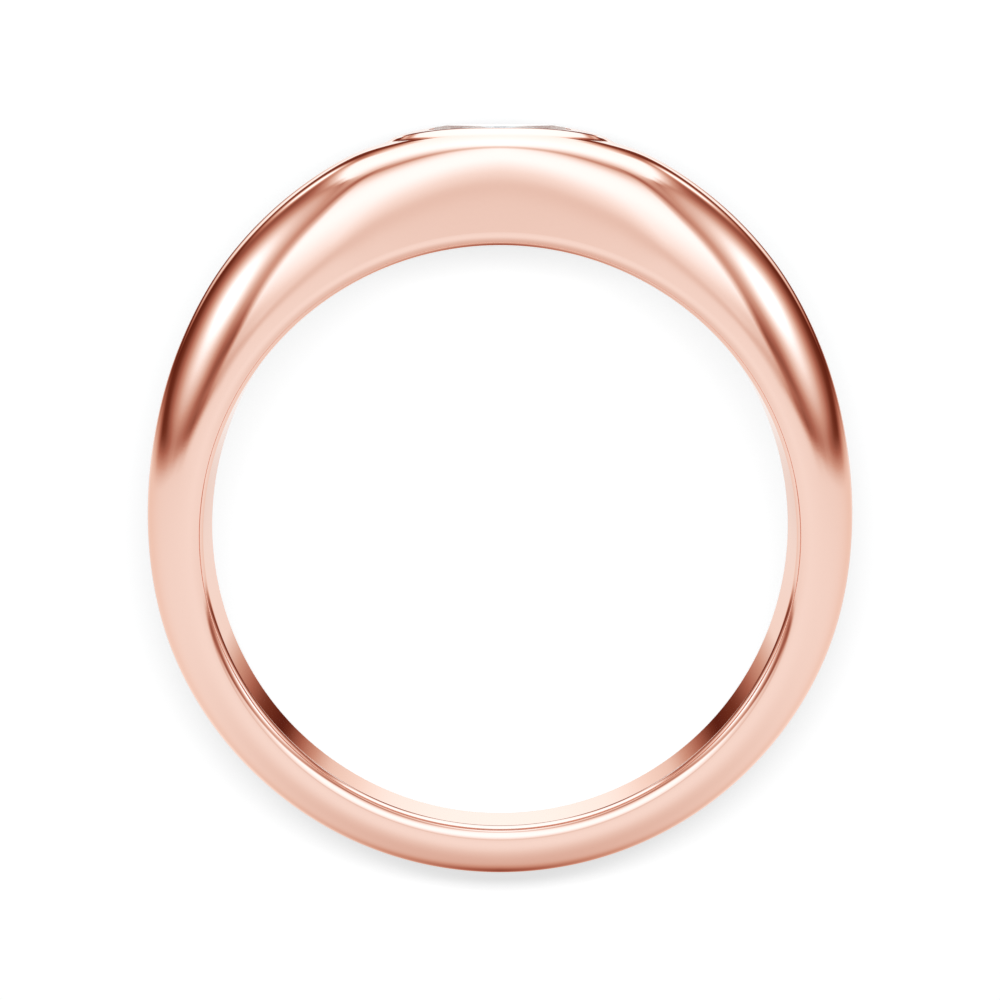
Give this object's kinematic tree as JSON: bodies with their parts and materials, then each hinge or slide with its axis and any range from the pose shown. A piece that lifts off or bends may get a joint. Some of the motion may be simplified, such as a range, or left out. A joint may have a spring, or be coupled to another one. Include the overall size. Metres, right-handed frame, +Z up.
{
  "type": "bezel set ring",
  "caption": "Domed rose gold ring that tapers from a wide head to a narrow back, with a low oval bezel holding an oval brilliant.",
  "frame": {"origin": "on the surface that the ring lies on, below the middle of its box", "axes": "+Z up, close to the finger hole's axis; +Y from the back of the band to the head with the stone; +X along the stone's length"},
  "size_m": [0.0208, 0.0224, 0.0068],
  "materials": {
    "rose_gold": "mirror polished",
    "stone": "polished facets"
  },
  "bodies": {
    "root": {"ring": "rose_gold", "stone": "stone"}
  },
  "joints": []
}
